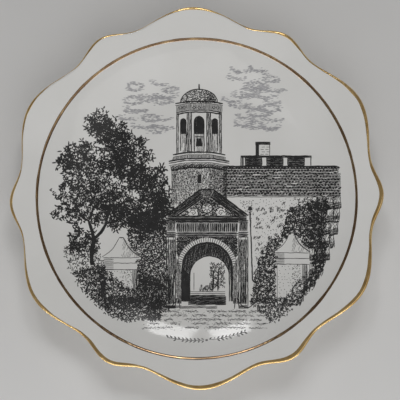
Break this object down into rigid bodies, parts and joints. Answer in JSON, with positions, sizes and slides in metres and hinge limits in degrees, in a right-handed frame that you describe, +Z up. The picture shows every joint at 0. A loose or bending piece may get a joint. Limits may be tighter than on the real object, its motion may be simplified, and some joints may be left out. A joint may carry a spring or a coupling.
{
  "type": "souvenir plate",
  "caption": "Small scalloped souvenir plate of glazed china with gilded lip and verge and a grey printed view of a gate and bell tower.",
  "frame": {"origin": "centre of the foot ring, on the plane the plate stands on", "axes": "+Z up along the plate's axis, out of the decorated face; +Y towards the top of the printed view; +X to the view's right"},
  "size_m": [0.1611, 0.1648, 0.0176],
  "materials": {
    "biscuit": "matt, unglazed",
    "glaze": "gloss glaze over white china",
    "gold": "burnished bright gold, hand-banded",
    "ink": "one-colour dark grey printed transfer, fired under a gloss",
    "light_ink": "the same transfer, lightly stippled"
  },
  "bodies": {
    "root": {"china_body": "biscuit", "well_glaze": "glaze", "rim_glaze": "glaze", "back_glaze": "glaze", "foot_well_glaze": "glaze", "rim_gilding": "gold", "verge_line": "gold", "print_bell_tower": "ink", "print_gatehouse": "ink", "print_tiled_range": "ink", "print_left_pier": "ink", "print_right_pier": "ink", "print_crag": "ink", "print_tree": "ink", "print_hedge": "ink", "print_road": "ink", "print_left_cloud": "light_ink", "print_right_cloud": "light_ink", "print_caption": "ink"}
  },
  "joints": []
}
